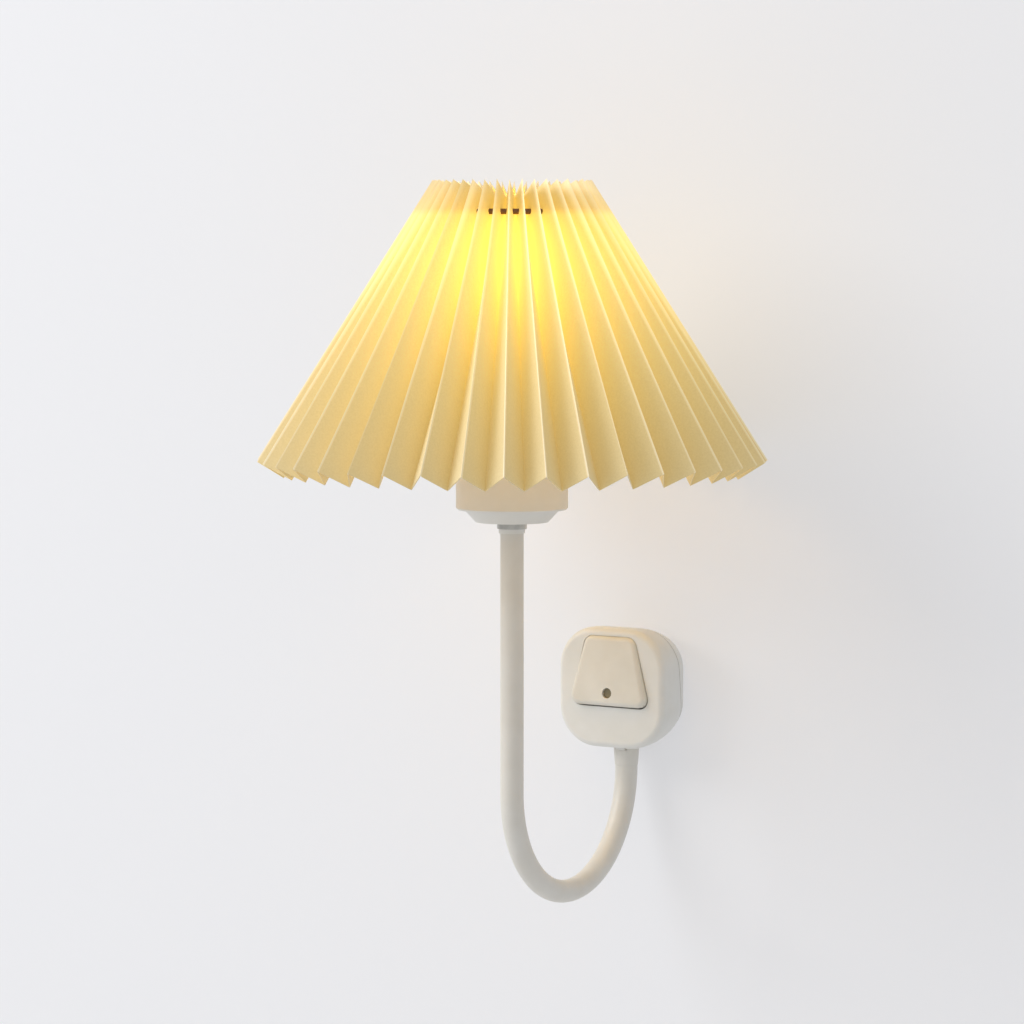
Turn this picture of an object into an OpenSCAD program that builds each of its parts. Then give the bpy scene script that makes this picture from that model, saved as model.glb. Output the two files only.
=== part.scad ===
// Plug-in wall light: a plug with a push paddle, a sleeved gooseneck and a pleated shade.
// Millimetres, +Z up. The origin is the middle of the plug's back face, and the room lies towards -Y.

/* [Plug] */
// Width of the plug housing
plug_w = 54; // [52:1:60]
// Height of the plug housing
plug_h = 56; // [54:1:66]
// Depth of the plug housing, from the wall to its front face
plug_d = 27; // [26:1:34]
// Radius of the housing's corners, seen from the front
plug_corner_r = 19; // [18:1:20]
// Radius that rolls the front face over into the sides
plug_front_r = 3; // [2.5:0.5:4]
// How far the sides draw in from the front roll to the wall
plug_taper = 1.5; // [0.5:0.5:2.5]
// Thickness of the housing's walls
plug_wall = 2; // [1.6:0.1:2.4]
// Thickness of the rear cover's floor
cover_floor = 2.4; // [2:0.1:3]
// Depth of the rear cover at half height
cover_d = 6; // [5.8:0.1:8]
// Lean of the seam between the cover and the housing, in degrees
seam_lean = 6; // [0:0.5:6]

/* [Blades] */
// Width of a contact blade
blade_w = 6.3; // [6:0.1:7]
// Thickness of a contact blade
blade_t = 1.5; // [1.4:0.1:1.6]
// Length of a blade outside the plug
blade_l = 17.5; // [15:0.5:19]
// Spacing of the two blades
blade_pitch = 12.7; // [12:0.1:13.5]

/* [Switch] */
// Width of the paddle at its top edge
paddle_top_w = 26; // [24:1:28]
// Width of the paddle at its bottom edge
paddle_bottom_w = 42; // [39:1:43]
// Height of the paddle
paddle_h = 32.5; // [31:0.5:33]
// Height of the paddle's bottom edge over the plug's middle
paddle_z = -8.5; // [-9:0.5:-8]
// Radius of the paddle's corners
paddle_corner_r = 4.5; // [3.5:0.1:5.5]
// Radius along the paddle's front edge
paddle_edge_r = 2.4; // [1.2:0.1:2.8]
// Height of the pressed paddle over the housing's front face
paddle_proud = 2.6; // [2:0.1:4]
// Lean of the resting paddle, which a full press takes up, in degrees
paddle_lean = 4; // [2:0.5:5]
// Gap round the paddle in its window
paddle_gap = 0.6; // [0.5:0.1:0.8]
// Thickness of the paddle's shell
paddle_wall = 1.6; // [1.2:0.1:2]
// Diameter of the round window in the paddle
lens_d = 4.8; // [3.5:0.1:5.2]
// Diameter of the paddle's pivot pin
pin_d = 2; // [1.6:0.1:2.4]

/* [Gooseneck] */
// Diameter of the sleeve
neck_d = 10.4; // [10:0.1:11]
// Radius of the bend, to the neck's axis
neck_bend_r = 51; // [50:1:60]
// Distance from the wall to the axis of the outlet
outlet_y = 12.5; // [12:0.5:14]
// Straight run from the plug to the bend
neck_drop = 10; // [9:1:20]
// Straight run from the bend to the ferrule
neck_rise = 116.5; // [105:0.5:150]
// Wall of the sleeve
sleeve_wall = 0.75; // [0.6:0.05:0.9]
// Diameter of the bore through the core
neck_bore_d = 4.6; // [4.2:0.1:5]
// Diameter of the flex inside the neck
flex_d = 3.4; // [3:0.1:3.8]
// Diameter of the boot where it meets the plug
boot_d = 12.2; // [12.2:0.1:13]

/* [Lamp holder] */
// Diameter of the holder's cup
cup_d = 49.6; // [48:0.2:54]
// Height of the cup
cup_h = 32; // [30:1:40]
// Diameter of the threaded neck over the cup
collar_d = 39; // [38:0.2:40]
// Diameter of the lower cap at its foot
cap_foot_d = 33.4; // [30:0.2:36]
// Diameter of the lower cap under the cup
cap_top_d = 42.4; // [41:0.2:44]
// Height of the lower cap
cap_h = 5.5; // [5:0.1:8]
// Diameter of the ferrule nut
nut_d = 13.2; // [12.4:0.1:16]
// Height of the ferrule nut
nut_h = 3; // [2.5:0.1:5]

/* [Shade] */
// Number of pleats
pleats = 40; // [36:4:44]
// Radius of the pleats' outer folds at the hem
shade_hem_r = 112.5; // [100:0.5:113]
// Radius of the pleats' outer folds at the top
shade_top_r = 35; // [34:0.5:38]
// Height of the outer folds from hem to top
shade_h = 123; // [118:1:130]
// Height of the hem's outer folds over the foot of the cup
shade_lift = 22; // [20:0.5:25]
// Width of one panel between folds
panel_w = 14.8; // [14:0.1:16]
// Thickness of the shade's sheet
sheet_t = 0.4; // [0.3:0.05:0.5]
// How far the shade is turned on its holder, in degrees
shade_turn = 3; // [0:0.5:9]
// Radius of the wire ring that the pleats hang on
ring_r = 32.5; // [31:0.5:33]
// Diameter of the ring's wire
ring_wire_d = 2.5; // [2:0.1:2.8]
// Diameter of the wire of the four arms
arm_wire_d = 2; // [1.6:0.1:2.2]

/* [Bulb] */
// Diameter of the bulb's globe
globe_d = 50; // [44:1:52]
// Height of the globe's centre over the foot of the cup
globe_lift = 97; // [92:1:100]

/* [Hidden] */
$fn = 64;

// Clearances
clear = 0.15;
slide = 0.1;
lap = 0.2;
far = 200;

// Plug, seen from the front as rounded corners on four centres
half_w = plug_w / 2;
half_h = plug_h / 2;
corner_steps = 8;
roll_steps = 6;
flank_steps = 5;
edge_break = 1.2;
seam_gap = 0.1;
lip_t = 1.2;
lip_l = 4.5;
notch_w = 8;
notch_depth = 1;
plug_spots = [
    [half_w - plug_corner_r, half_h - plug_corner_r, 0, 90],
    [plug_corner_r - half_w, half_h - plug_corner_r, 90, 180],
    [plug_corner_r - half_w, plug_corner_r - half_h, 180, 270],
    [half_w - plug_corner_r, plug_corner_r - half_h, 270, 360]];

// Screws that hold the cover, low in the housing
screw_x = half_w - 11.5;
screw_z = 13 - half_h;
screw_d = 2.5;
screw_head_d = 5.4;
screw_head_h = 1.4;
screw_l = 14;
cross_w = 0.8;
cross_depth = 0.7;
boss_d = 6.4;

// Blades and their carrier
blade_root_w = blade_w + 2.7;
carrier_d = 8;
carrier_w = blade_pitch + 9.3;
carrier_h = blade_root_w + 7;
carrier_front = -cover_floor - carrier_d;
tip_chamfer = 1.2;

// Paddle, a trapezoid with round corners that leans about its pin
paddle_top = paddle_z + paddle_h;
paddle_side = atan((paddle_bottom_w - paddle_top_w) / 2 / paddle_h);
front_y = -plug_d;
inner_y = plug_wall - plug_d;
pivot_y = inner_y + 2;
pivot_z = paddle_top - 3.5;
skirt_y = inner_y + 1;
face_t = 1.8;
face_y = front_y - paddle_proud;
ear_w = 2.4;
ear_reach = 2.5;
paddle_ear_x = paddle_top_w / 2 - 3.5;
housing_ear_x = paddle_top_w / 2 + (paddle_top - pivot_z + ear_reach) * tan(paddle_side) + paddle_gap + 0.4;
pin_reach = housing_ear_x + ear_w;
stop_w = 20;
stop_t = 1.2;
stop_drop = paddle_gap + 1.3;
stop_front = inner_y + (pivot_z - paddle_z) * sin(paddle_lean) + clear;
paddle_spots = [
    paddle_spot(1, 1, paddle_side, 90),
    paddle_spot(-1, 1, 90, 180 - paddle_side),
    paddle_spot(-1, -1, 180 - paddle_side, 270),
    paddle_spot(1, -1, 270, 360 + paddle_side)];

// Switch behind the paddle
module_w = 18;
module_low = -6;
module_high = 13;
module_d = 7;
module_front = carrier_front - module_d;
plunger_d = 4;
plunger_z = pivot_z - 11;
plunger_play = 0.15;
post_d = 4.4;
post_end = pivot_y + 1;
press_travel = (pivot_z - plunger_z) * sin(paddle_lean);
plunger_tip = post_end - press_travel + plunger_play;
plunger_well = 6;
plunger_l = module_front + plunger_well - 1.4 - plunger_tip;
lens_z = -2.5;
lens_recess = 1.2;
lens_rim = 1;

// Neck: down from the outlet, round the bend, up the riser
bend_y = -outlet_y - neck_bend_r;
riser_y = bend_y - neck_bend_r;
outlet_z = -half_h;
bend_z = outlet_z - neck_drop;
ferrule_z = bend_z + neck_rise;
sleeve_r = neck_d / 2;
sleeve_in_r = sleeve_r - sleeve_wall;
core_r = sleeve_in_r - 0.2;
ball_r = core_r - 0.3;
socket_r = ball_r + clear;
link_gap = 1.6;
joint_angles = [36, 84, 132, 180];
joint_rise = [40, 80];
stem_top = outlet_z + 12;
bush_wall = 1.5;
bush_flange = 1.2;
bush_rim = 1;
bush_r = core_r + clear + bush_wall;
seat_d = boot_d + 4.5;
seat_h = 4.2;
stem_flange_d = 12.4;
stem_flange_h = 1.4;
swivel_top = outlet_z + seat_h + bush_flange + stem_flange_h + 1;
boot_top = outlet_z - clear;
boot_low = bend_z + 0.5;
boot_shoulder = 0.8;
boot_low_d = neck_d + 1;
clip_w = 6.3;
clip_h = 1.6;
clip_t = 0.6;
clip_play = 0.2;
clip_end = 0.8;
clip_low = boot_top - clip_h - 0.4;
clip_y = -outlet_y - sleeve_r - slide - 0.3;
flex_top = module_low;
bore_r = neck_bore_d / 2;
gap_angle = link_gap / neck_bend_r * 180 / PI;
reach_angle = 2 * ball_r / neck_bend_r * 180 / PI;

// Head, stacked up from the ferrule
ferrule_h = 2;
ferrule_d = nut_d - 1.5;
nut_z = ferrule_z + ferrule_h;
cap_z = nut_z + nut_h;
cup_z = cap_z + cap_h;
nipple_d = 9.8;
nipple_bore_d = 6.4;
nipple_top = cup_z + 5;
cap_wall = 2;
cap_edge = 0.6;
spigot_h = 6;
spigot_wall = 1.6;
spigot_r = cap_top_d / 2 - 0.5;
cup_wall = 2;
cup_foot_edge = 0.8;
cup_shoulder = 1.5;
cup_top = cup_z + cup_h;
collar_h = 12;
locknut_d = 15;
locknut_h = 3;
socket_r_out = collar_d / 2 - 2.2;
socket_low = cup_z + 8;
socket_floor = 7;
socket_high = cup_top + collar_h - 1;
shell_r = 14;
shell_t = 0.5;
contact_w = 8;
contact_h = 0.8;
flex_end = socket_low;
fitter_t = 1.6;
ring_nut_h = 8;
ring_nut_d = collar_d + 5;

// Shade: a folded strip, whose panels keep one width from hem to top
pitch = 360 / pleats;
fold_middle = 0.8;
hem_z = cup_z + shade_lift;
top_z = hem_z + shade_h;
slope = atan((shade_hem_r - shade_top_r) / shade_h);
ring_drop = 14;
ring_z = top_z - ring_drop;
slit_end = ring_r + ring_wire_d / 2 + 0.25;
arm_foot_r = ring_nut_d / 2 + arm_wire_d / 2 + 0.4;
fitter_r = arm_foot_r + arm_wire_d / 2 + 0.3;
arm_bend_z = cup_top + 27;

// Bulb
bulb_cap_r = 13.2;
bulb_tip_r = 4.5;
bulb_tip_h = 3;
bulb_cone_h = 4;
globe_wall = 1.2;
bulb_foot = socket_low + socket_floor + contact_h;
bulb_neck_z = cup_top + collar_h + 1;
globe_r = globe_d / 2;
globe_z = cup_z + globe_lift;
globe_cut = globe_z - globe_r * 0.52;

// Centre and arc of one corner of the paddle
function paddle_spot(side, up, from, to) =
    let (r = paddle_corner_r,
        x = up > 0 ? paddle_top_w / 2 + r * tan(paddle_side) : paddle_bottom_w / 2 - r * tan(paddle_side),
        z = up > 0 ? paddle_top - r : paddle_z + r)
    [side * (x - r / cos(paddle_side)), z, from, to];

// Points of a rounded outline of radius r on its corner centres
function outline(spots, r) =
    [for (s = spots, k = [0:corner_steps])
        let (a = s[2] + (s[3] - s[2]) * k / corner_steps)
        [s[0] + r * cos(a), s[1] + r * sin(a)]];

// Radius and depth of each ring where a side of radius r rolls over to a front face at y
function roll(r, y, edge, steps) =
    [for (k = [0:steps])
        let (a = 90 * k / steps)
        [r - edge * (1 - cos(a)), y + edge * (1 - sin(a))]];

// Radius of the plug's outline at a depth y, drawn in towards the wall
function side_r(y) = plug_corner_r - plug_taper * pow(1 + y / (plug_d - plug_front_r), 2);

// Radius and depth of the rings along the plug's side, set in from its surface
function flank(inset, y0, y1) =
    [for (k = [0:flank_steps])
        let (y = y0 + (y1 - y0) * k / flank_steps)
        [side_r(y) - inset, y]];

// Where the bend's axis is at an angle from its start
function on_bend(a) = [0, bend_y + neck_bend_r * cos(a), bend_z - neck_bend_r * sin(a)];
function on_riser(rise) = [0, riser_y, bend_z + rise];

// Solid through rings of one rounded outline, from the back to the front
module loft(spots, rings) {
    n = len(spots) * (corner_steps + 1);
    last = len(rings) - 1;
    points = [for (ring = rings, p = outline(spots, ring[0])) [p[0], ring[1], p[1]]];
    sides = [for (i = [0:last - 1], j = [0:n - 1], half = [0, 1])
        let (k = (j + 1) % n, a = i * n, b = a + n)
        half == 0 ? [b + j, b + k, a + k] : [b + j, a + k, a + j]];
    back = [for (j = [0:n - 1]) j];
    front = [for (j = [n - 1:-1:0]) last * n + j];
    polyhedron(points, concat(sides, [back, front]));
}

// Rounded outline of radius r pulled straight from y0 to y1
module prism(spots, r, y0, y1) {
    translate([0, y1, 0]) rotate([90, 0, 0]) linear_extrude(y1 - y0) polygon(outline(spots, r));
}

module bar_y(d, y0, y1) {
    translate([0, y0, 0]) rotate([-90, 0, 0]) cylinder(d = d, h = y1 - y0);
}

module bar_x(d, x0, x1) {
    translate([x0, 0, 0]) rotate([0, 90, 0]) cylinder(d = d, h = x1 - x0);
}

// The plug's whole form, set in from its surface
module plug_body(inset, back) {
    rings = flank(inset, back, plug_front_r - plug_d);
    front = roll(plug_corner_r - inset, front_y + inset, plug_front_r - inset, roll_steps);
    loft(plug_spots, concat([for (k = [0:flank_steps - 1]) rings[k]], front));
}

// Everything behind the leaning seam, or in front of it
module behind_seam(depth) {
    translate([0, -depth, 0]) rotate([seam_lean, 0, 0]) translate([-far, 0, -far]) cube(2 * far);
}

module before_seam(depth) {
    translate([0, -depth, 0]) rotate([seam_lean, 0, 0]) translate([-far, -2 * far, -far]) cube(2 * far);
}

module at_screws() {
    for (x = [-screw_x, screw_x]) translate([x, 0, screw_z]) children();
}

module blade_slot(x, w, play) {
    translate([x - blade_t / 2 - play, -carrier_d - far / 4, -w / 2 - play])
        cube([blade_t + 2 * play, far / 2, w + 2 * play]);
}

module rear_cover() {
    color("ivory") difference() {
        union() {
            difference() {
                loft(plug_spots, concat([[side_r(0) - edge_break, 0],
                    [side_r(0) - edge_break * 0.3, -edge_break * 0.3]],
                    flank(0, -edge_break, -plug_d / 2)));
                loft(plug_spots, flank(plug_wall, -cover_floor, -plug_d / 2 - 1));
                before_seam(cover_d - seam_gap);
            }
            difference() {
                loft(plug_spots, flank(plug_wall + clear, lap - cover_floor, -cover_d - lip_l));
                loft(plug_spots, flank(plug_wall + clear + lip_t, -cover_floor, -cover_d - lip_l - 1));
                translate([-plug_corner_r / 2, -plug_d, -plug_h])
                    cube([plug_corner_r, plug_d - cover_floor, plug_h - boss_d]);
            }
        }
        for (x = [-blade_pitch / 2, blade_pitch / 2]) blade_slot(x, blade_w, slide);
        at_screws() {
            bar_y(screw_d + 2 * slide, -plug_d, 1);
            bar_y(screw_head_d + 2 * slide, -screw_head_h - slide, 1);
        }
        outlet_rod(bush_r + bush_rim + clear, outlet_z - 1, swivel_top);
    }
}

module front_housing() {
    notch_y = -cover_d - half_h * tan(seam_lean);
    notch_z = half_h - plug_corner_r + side_r(notch_y) - notch_depth;
    color("ivory") difference() {
        union() {
            difference() {
                union() {
                    difference() {
                        plug_body(0, 0);
                        plug_body(plug_wall, 1);
                    }
                    intersection() {
                        plug_body(plug_wall / 2, 0);
                        outlet_rod(seat_d / 2, outlet_z, outlet_z + seat_h);
                    }
                }
                behind_seam(cover_d);
            }
            at_screws() bar_y(boss_d, inner_y - lap, -cover_floor);
            for (side = [-1, 1]) translate([side * (housing_ear_x + ear_w / 2), inner_y - lap, pivot_z])
                translate([-ear_w / 2, 0, -ear_reach])
                    cube([ear_w, pivot_y - inner_y + ear_reach, 2 * ear_reach]);
        }
        prism(paddle_spots, paddle_corner_r + paddle_gap, -far, pivot_y);
        translate([0, pivot_y, pivot_z]) bar_x(pin_d + slide, -pin_reach - clear, pin_reach + clear);
        at_screws() bar_y(screw_d, -cover_floor - screw_l, 1);
        outlet_rod(bush_r + slide, outlet_z - 1, outlet_z + seat_h + 1);
        outlet_rod(bush_r + bush_rim + clear, outlet_z + seat_h, swivel_top);
        translate([-notch_w / 2, notch_y - notch_depth, notch_z]) cube([notch_w, far, far]);
    }
}

module pin_carrier() {
    color("dimgray") difference() {
        translate([-carrier_w / 2, carrier_front, -carrier_h / 2]) cube([carrier_w, carrier_d, carrier_h]);
        for (x = [-blade_pitch / 2, blade_pitch / 2]) blade_slot(x, blade_root_w, slide);
    }
}

// One flat blade with a wider root that the cover holds in
module blade(x) {
    color("gold") translate([x - blade_t / 2, 0, 0]) rotate([90, 0, 90]) linear_extrude(blade_t)
        polygon([[carrier_front, -blade_root_w / 2], [-cover_floor, -blade_root_w / 2],
            [-cover_floor, -blade_w / 2], [blade_l - tip_chamfer, -blade_w / 2],
            [blade_l, tip_chamfer - blade_w / 2], [blade_l, blade_w / 2 - tip_chamfer],
            [blade_l - tip_chamfer, blade_w / 2], [-cover_floor, blade_w / 2],
            [-cover_floor, blade_root_w / 2], [carrier_front, blade_root_w / 2]]);
}

module live_blade() {
    blade(-blade_pitch / 2);
}

module neutral_blade() {
    blade(blade_pitch / 2);
}

module housing_screws() {
    color("silver") at_screws() difference() {
        union() {
            bar_y(screw_d - slide, -screw_l, -screw_head_h / 2);
            bar_y(screw_head_d, -screw_head_h, 0);
        }
        for (turn = [0, 90]) rotate([0, turn, 0]) translate([-screw_head_d / 3, -cross_depth, -cross_w / 2])
            cube([screw_head_d / 1.5, 2 * cross_depth, cross_w]);
    }
}

module switch_module() {
    color("black") difference() {
        translate([-module_w / 2, module_front, module_low])
            cube([module_w, module_d, module_high - module_low]);
        translate([0, 0, plunger_z])
            bar_y(plunger_d + 2 * clear, module_front - 1, module_front + plunger_well);
    }
}

module pivot_pin() {
    color("silver") translate([0, pivot_y, pivot_z]) bar_x(pin_d, -pin_reach, pin_reach);
}

module outlet_bush() {
    color("white") translate([0, -outlet_y, outlet_z]) difference() {
        union() {
            cylinder(r = bush_r, h = seat_h + lap);
            translate([0, 0, seat_h]) cylinder(r = bush_r + bush_rim, h = bush_flange);
        }
        translate([0, 0, -1]) cylinder(r = core_r + clear, h = seat_h + bush_flange + 2);
    }
}

// Turns the pressed paddle back to where it rests
module at_rest() {
    translate([0, pivot_y, pivot_z]) rotate([-paddle_lean, 0, 0])
        translate([0, -pivot_y, -pivot_z]) children();
}

module switch_paddle() {
    color("ivory") at_rest() difference() {
        union() {
            difference() {
                loft(paddle_spots, concat([[paddle_corner_r, skirt_y]],
                    roll(paddle_corner_r, face_y, paddle_edge_r, 4)));
                prism(paddle_spots, paddle_corner_r - paddle_wall, face_y + face_t, 0);
            }
            for (side = [-1, 1])
                translate([side * paddle_ear_x - ear_w / 2, face_y + face_t - lap, pivot_z - ear_reach])
                    cube([ear_w, pivot_y + ear_reach - face_y - face_t + lap, 2 * ear_reach]);
            translate([0, 0, plunger_z]) bar_y(post_d, face_y + face_t - lap, post_end);
            translate([-stop_w / 2, skirt_y - lap, paddle_z])
                cube([stop_w, stop_front + stop_t - skirt_y + lap, paddle_wall]);
            translate([-stop_w / 2, stop_front, paddle_z - stop_drop])
                cube([stop_w, stop_t, stop_drop + paddle_wall]);
        }
        translate([0, pivot_y, pivot_z]) bar_x(pin_d + 2 * clear, -pin_reach, pin_reach);
        translate([0, 0, lens_z]) bar_y(lens_d, face_y - 1, face_y + face_t + 1);
    }
}

module indicator_lens() {
    color("darkolivegreen") at_rest() translate([0, 0, lens_z]) {
        bar_y(lens_d - 2 * slide, face_y + lens_recess, face_y + face_t + lap);
        bar_y(lens_d + 2 * lens_rim, face_y + face_t, face_y + face_t + lens_rim);
    }
}

module switch_plunger() {
    color("white") translate([0, 0, plunger_z]) bar_y(plunger_d, plunger_tip, plunger_tip + plunger_l);
}

// Round rods along the three stretches of the neck
module outlet_rod(r, z0, z1) {
    translate([0, -outlet_y, z0]) cylinder(r = r, h = z1 - z0);
}

module bend_rod(r, a0, a1) {
    translate([0, bend_y, bend_z]) rotate([-90, 0, 90]) rotate([0, 0, a0])
        rotate_extrude(angle = a1 - a0) translate([neck_bend_r, 0]) circle(r = r);
}

module riser_rod(r, z0, z1) {
    translate([0, riser_y, z0]) cylinder(r = r, h = z1 - z0);
}

module neck_stem() {
    end = joint_angles[0];
    color("gray") difference() {
        union() {
            outlet_rod(core_r, bend_z, stem_top);
            bend_rod(core_r, 0, end);
            translate(on_bend(end)) sphere(r = ball_r);
            outlet_rod(stem_flange_d / 2, outlet_z + seat_h + bush_flange + clear,
                outlet_z + seat_h + bush_flange + clear + stem_flange_h);
        }
        outlet_rod(bore_r, bend_z, stem_top + 1);
        bend_rod(bore_r, 0, end + reach_angle);
    }
}

module neck_boot() {
    color("white") difference() {
        translate([0, -outlet_y, boot_low]) cylinder(d1 = boot_low_d, d2 = boot_d, h = boot_top - boot_low);
        outlet_rod(core_r + slide, boot_low - 1, boot_top + 1);
        outlet_rod(sleeve_r + slide, boot_low - 1, boot_top - boot_shoulder);
        translate([-clip_w / 2, clip_y - boot_d, clip_low]) cube([clip_w, boot_d, clip_h]);
    }
}

module boot_clip() {
    color("darkgray") translate([clip_end - clip_w / 2, clip_y - clip_t, clip_low + clip_play])
        cube([clip_w - 2 * clip_end, clip_t, clip_h - 2 * clip_play]);
}

module neck_sleeve() {
    top = boot_top - boot_shoulder - slide;
    color("white") {
        difference() {
            outlet_rod(sleeve_r, bend_z, top);
            outlet_rod(sleeve_in_r, bend_z - 1, top + 1);
        }
        difference() {
            bend_rod(sleeve_r, 0, 180);
            bend_rod(sleeve_in_r, 0, 180);
        }
        difference() {
            riser_rod(sleeve_r, bend_z, ferrule_z);
            riser_rod(sleeve_in_r, bend_z - 1, ferrule_z + 1);
        }
    }
}

// A core link on the bend: a socket on the ball before it, a ball at its end
module bend_link(a0, a1) {
    color("gray") difference() {
        union() {
            bend_rod(core_r, a0 + gap_angle, a1);
            translate(on_bend(a1)) sphere(r = ball_r);
        }
        translate(on_bend(a0)) sphere(r = socket_r);
        bend_rod(bore_r, a0, a1 + reach_angle);
    }
}

module neck_link_1() {
    bend_link(joint_angles[0], joint_angles[1]);
}

module neck_link_2() {
    bend_link(joint_angles[1], joint_angles[2]);
}

module neck_link_3() {
    bend_link(joint_angles[2], joint_angles[3]);
}

// A core link on the riser
module riser_link(rise0, rise1) {
    color("gray") difference() {
        union() {
            riser_rod(core_r, bend_z + rise0 + link_gap, bend_z + rise1);
            translate(on_riser(rise1)) sphere(r = ball_r);
        }
        translate(on_riser(rise0)) sphere(r = socket_r);
        riser_rod(bore_r, bend_z + rise0, bend_z + rise1 + 2 * ball_r);
    }
}

module neck_link_4() {
    riser_link(0, joint_rise[0]);
}

module neck_link_5() {
    riser_link(joint_rise[0], joint_rise[1]);
}

module neck_link_top() {
    color("gray") difference() {
        riser_rod(core_r, bend_z + joint_rise[1] + link_gap, nut_z);
        translate(on_riser(joint_rise[1])) sphere(r = socket_r);
        riser_rod(bore_r, bend_z + joint_rise[1], nut_z + 1);
    }
}

module inner_flex() {
    color("whitesmoke") {
        outlet_rod(flex_d / 2, bend_z, flex_top);
        bend_rod(flex_d / 2, 0, 180);
        riser_rod(flex_d / 2, bend_z, flex_end);
    }
}

// Pieces of the head turn about the riser's own axis
module on_axis(z) {
    translate([0, riser_y, z]) children();
}

module hose_ferrule() {
    color("white") on_axis(ferrule_z) difference() {
        cylinder(d = ferrule_d, h = ferrule_h);
        translate([0, 0, -1]) cylinder(r = core_r + slide, h = ferrule_h + 2);
    }
}

module ferrule_nut() {
    color("darkgray") on_axis(nut_z) difference() {
        cylinder(d = nut_d, h = nut_h);
        translate([0, 0, -1]) cylinder(d = nipple_d + 2 * slide, h = nut_h + 2);
    }
}

module holder_nipple() {
    color("silver") on_axis(nut_z) difference() {
        cylinder(d = nipple_d, h = nipple_top - nut_z);
        translate([0, 0, -1]) cylinder(d = nipple_bore_d, h = nipple_top - nut_z + 2);
    }
}

module nipple_locknut() {
    color("silver") on_axis(cap_z + cap_wall) difference() {
        cylinder(d = locknut_d, h = locknut_h, $fn = 6);
        translate([0, 0, -1]) cylinder(d = nipple_d + 2 * slide, h = locknut_h + 2);
    }
}

module holder_lower_cap() {
    foot = cap_foot_d / 2;
    top = cap_top_d / 2;
    color("ivory") on_axis(cap_z) rotate_extrude()
        polygon([[nipple_d / 2 + slide, 0], [foot - cap_edge, 0], [foot, cap_edge], [top, cap_h],
            [spigot_r, cap_h],
            [spigot_r, cap_h + spigot_h], [spigot_r - spigot_wall, cap_h + spigot_h],
            [spigot_r - spigot_wall, cap_h], [foot - cap_wall, cap_wall], [nipple_d / 2 + slide, cap_wall]]);
}

module holder_cup() {
    out = cup_d / 2;
    mouth = spigot_r + slide;
    collar = collar_d / 2;
    color("ivory") on_axis(cup_z) rotate_extrude()
        polygon([[mouth, 0], [out - cup_foot_edge, 0], [out, cup_foot_edge], [out, cup_h - cup_shoulder],
            [out - cup_shoulder, cup_h], [collar, cup_h],
            [collar, cup_h + collar_h], [collar - cup_wall, cup_h + collar_h],
            [collar - cup_wall, cup_h - cup_wall], [out - cup_wall, cup_h - cup_wall],
            [out - cup_wall, spigot_h + 1], [mouth, spigot_h + 1]]);
}

module socket_body() {
    height = socket_high - socket_low;
    color("white") on_axis(socket_low) difference() {
        cylinder(r = socket_r_out, h = height);
        translate([0, 0, socket_floor]) cylinder(r = shell_r + slide, h = height);
        translate([0, 0, -1]) cylinder(d = flex_d + 2, h = socket_floor - 1);
    }
}

module socket_shell() {
    foot = socket_low + socket_floor;
    color("gold") on_axis(foot) difference() {
        cylinder(r = shell_r, h = socket_high - foot - 1);
        translate([0, 0, -1]) cylinder(r = shell_r - shell_t, h = socket_high - foot + 1);
    }
}

module centre_contact() {
    color("gold") on_axis(socket_low + socket_floor) translate([-contact_w / 2, -contact_w / 4, 0])
        cube([contact_w, contact_w / 2, contact_h]);
}

module shade_ring_nut() {
    color("ivory") on_axis(cup_top + fitter_t) difference() {
        cylinder(d = ring_nut_d, h = ring_nut_h);
        translate([0, 0, -1]) cylinder(d = collar_d + 2 * slide, h = ring_nut_h + 2);
    }
}

// Straight wire from p to q, both in the upright plane y = 0
module wire(p, q, d) {
    run = q - p;
    translate(p) rotate([0, atan2(run[0], run[2]), 0]) cylinder(d = d, h = norm(run), $fn = 32);
}

module shade_frame() {
    foot = [arm_foot_r, 0, cup_top + fitter_t / 2];
    bend = [ring_r, 0, arm_bend_z];
    head = [ring_r, 0, ring_z];
    color("saddlebrown") on_axis(0) rotate(shade_turn) {
        translate([0, 0, cup_top]) difference() {
            cylinder(r = fitter_r, h = fitter_t);
            translate([0, 0, -1]) cylinder(r = collar_d / 2 + slide, h = fitter_t + 2);
        }
        for (turn = [45:90:315]) rotate([0, 0, turn]) {
            wire(foot, bend, arm_wire_d);
            wire(bend, head, arm_wire_d);
            translate(bend) sphere(d = arm_wire_d + 0.2);
        }
        translate([0, 0, ring_z]) rotate_extrude() translate([ring_r, 0]) circle(d = ring_wire_d, $fn = 32);
    }
}

// How deep the folds are where the outer folds have radius r: a panel spans half a pitch sideways
function fold_half(r) = (r - panel_w * cos(slope) * fold_middle) * sin(pitch / 2);
function fold_depth(r) = sqrt(pow(panel_w, 2) - pow(fold_half(r), 2));

// Point of fold k at the hem (end 0) or top (end 1), on the outer or inner face (face 0 or 1)
function fold_point(k, end, face) =
    let (r = end == 0 ? shade_hem_r : shade_top_r,
        z = end == 0 ? hem_z : top_z,
        inward = k % 2 * fold_depth(r),
        through = face * sheet_t * panel_w / fold_half(r),
        reach = r - inward * cos(slope) - through,
        turn = k * pitch / 2 - 90)
    [reach * cos(turn), reach * sin(turn), z - inward * sin(slope)];

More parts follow.
